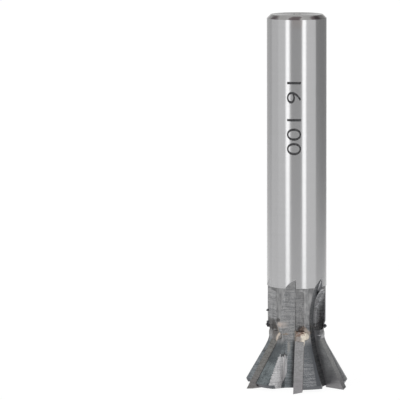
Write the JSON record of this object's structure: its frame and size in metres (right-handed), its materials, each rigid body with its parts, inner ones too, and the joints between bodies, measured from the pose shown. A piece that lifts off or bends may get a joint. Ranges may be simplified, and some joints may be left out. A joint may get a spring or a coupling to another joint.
{
  "type": "dovetail cutter",
  "caption": "Straight-shank dovetail milling cutter: steel body with a fluted conical head, carbide tips brazed into milled seats, ground round shank.",
  "frame": {"origin": "on the axis, in the plane of the six tip corners that the cutter stands on", "axes": "+Z along the axis, from the tips to the shank's end; the front tooth's cutting face lies along -Y"},
  "size_m": [0.0272, 0.03, 0.1],
  "materials": {
    "tool_steel": "ground shank; neck and gullets as milled and darkened by the brazing heat",
    "carbide": "ground, matt grey with a faint violet cast",
    "braze": "lumpy silver solder, cream to copper"
  },
  "bodies": {
    "root": {"cutter_body": "tool_steel", "carbide_tip_1": "carbide", "carbide_tip_2": "carbide", "carbide_tip_3": "carbide", "carbide_tip_4": "carbide", "carbide_tip_5": "carbide", "carbide_tip_6": "carbide", "braze_seam_1": "braze", "braze_seam_2": "braze", "braze_seam_3": "braze", "braze_seam_4": "braze", "braze_seam_5": "braze", "braze_seam_6": "braze"}
  },
  "joints": []
}
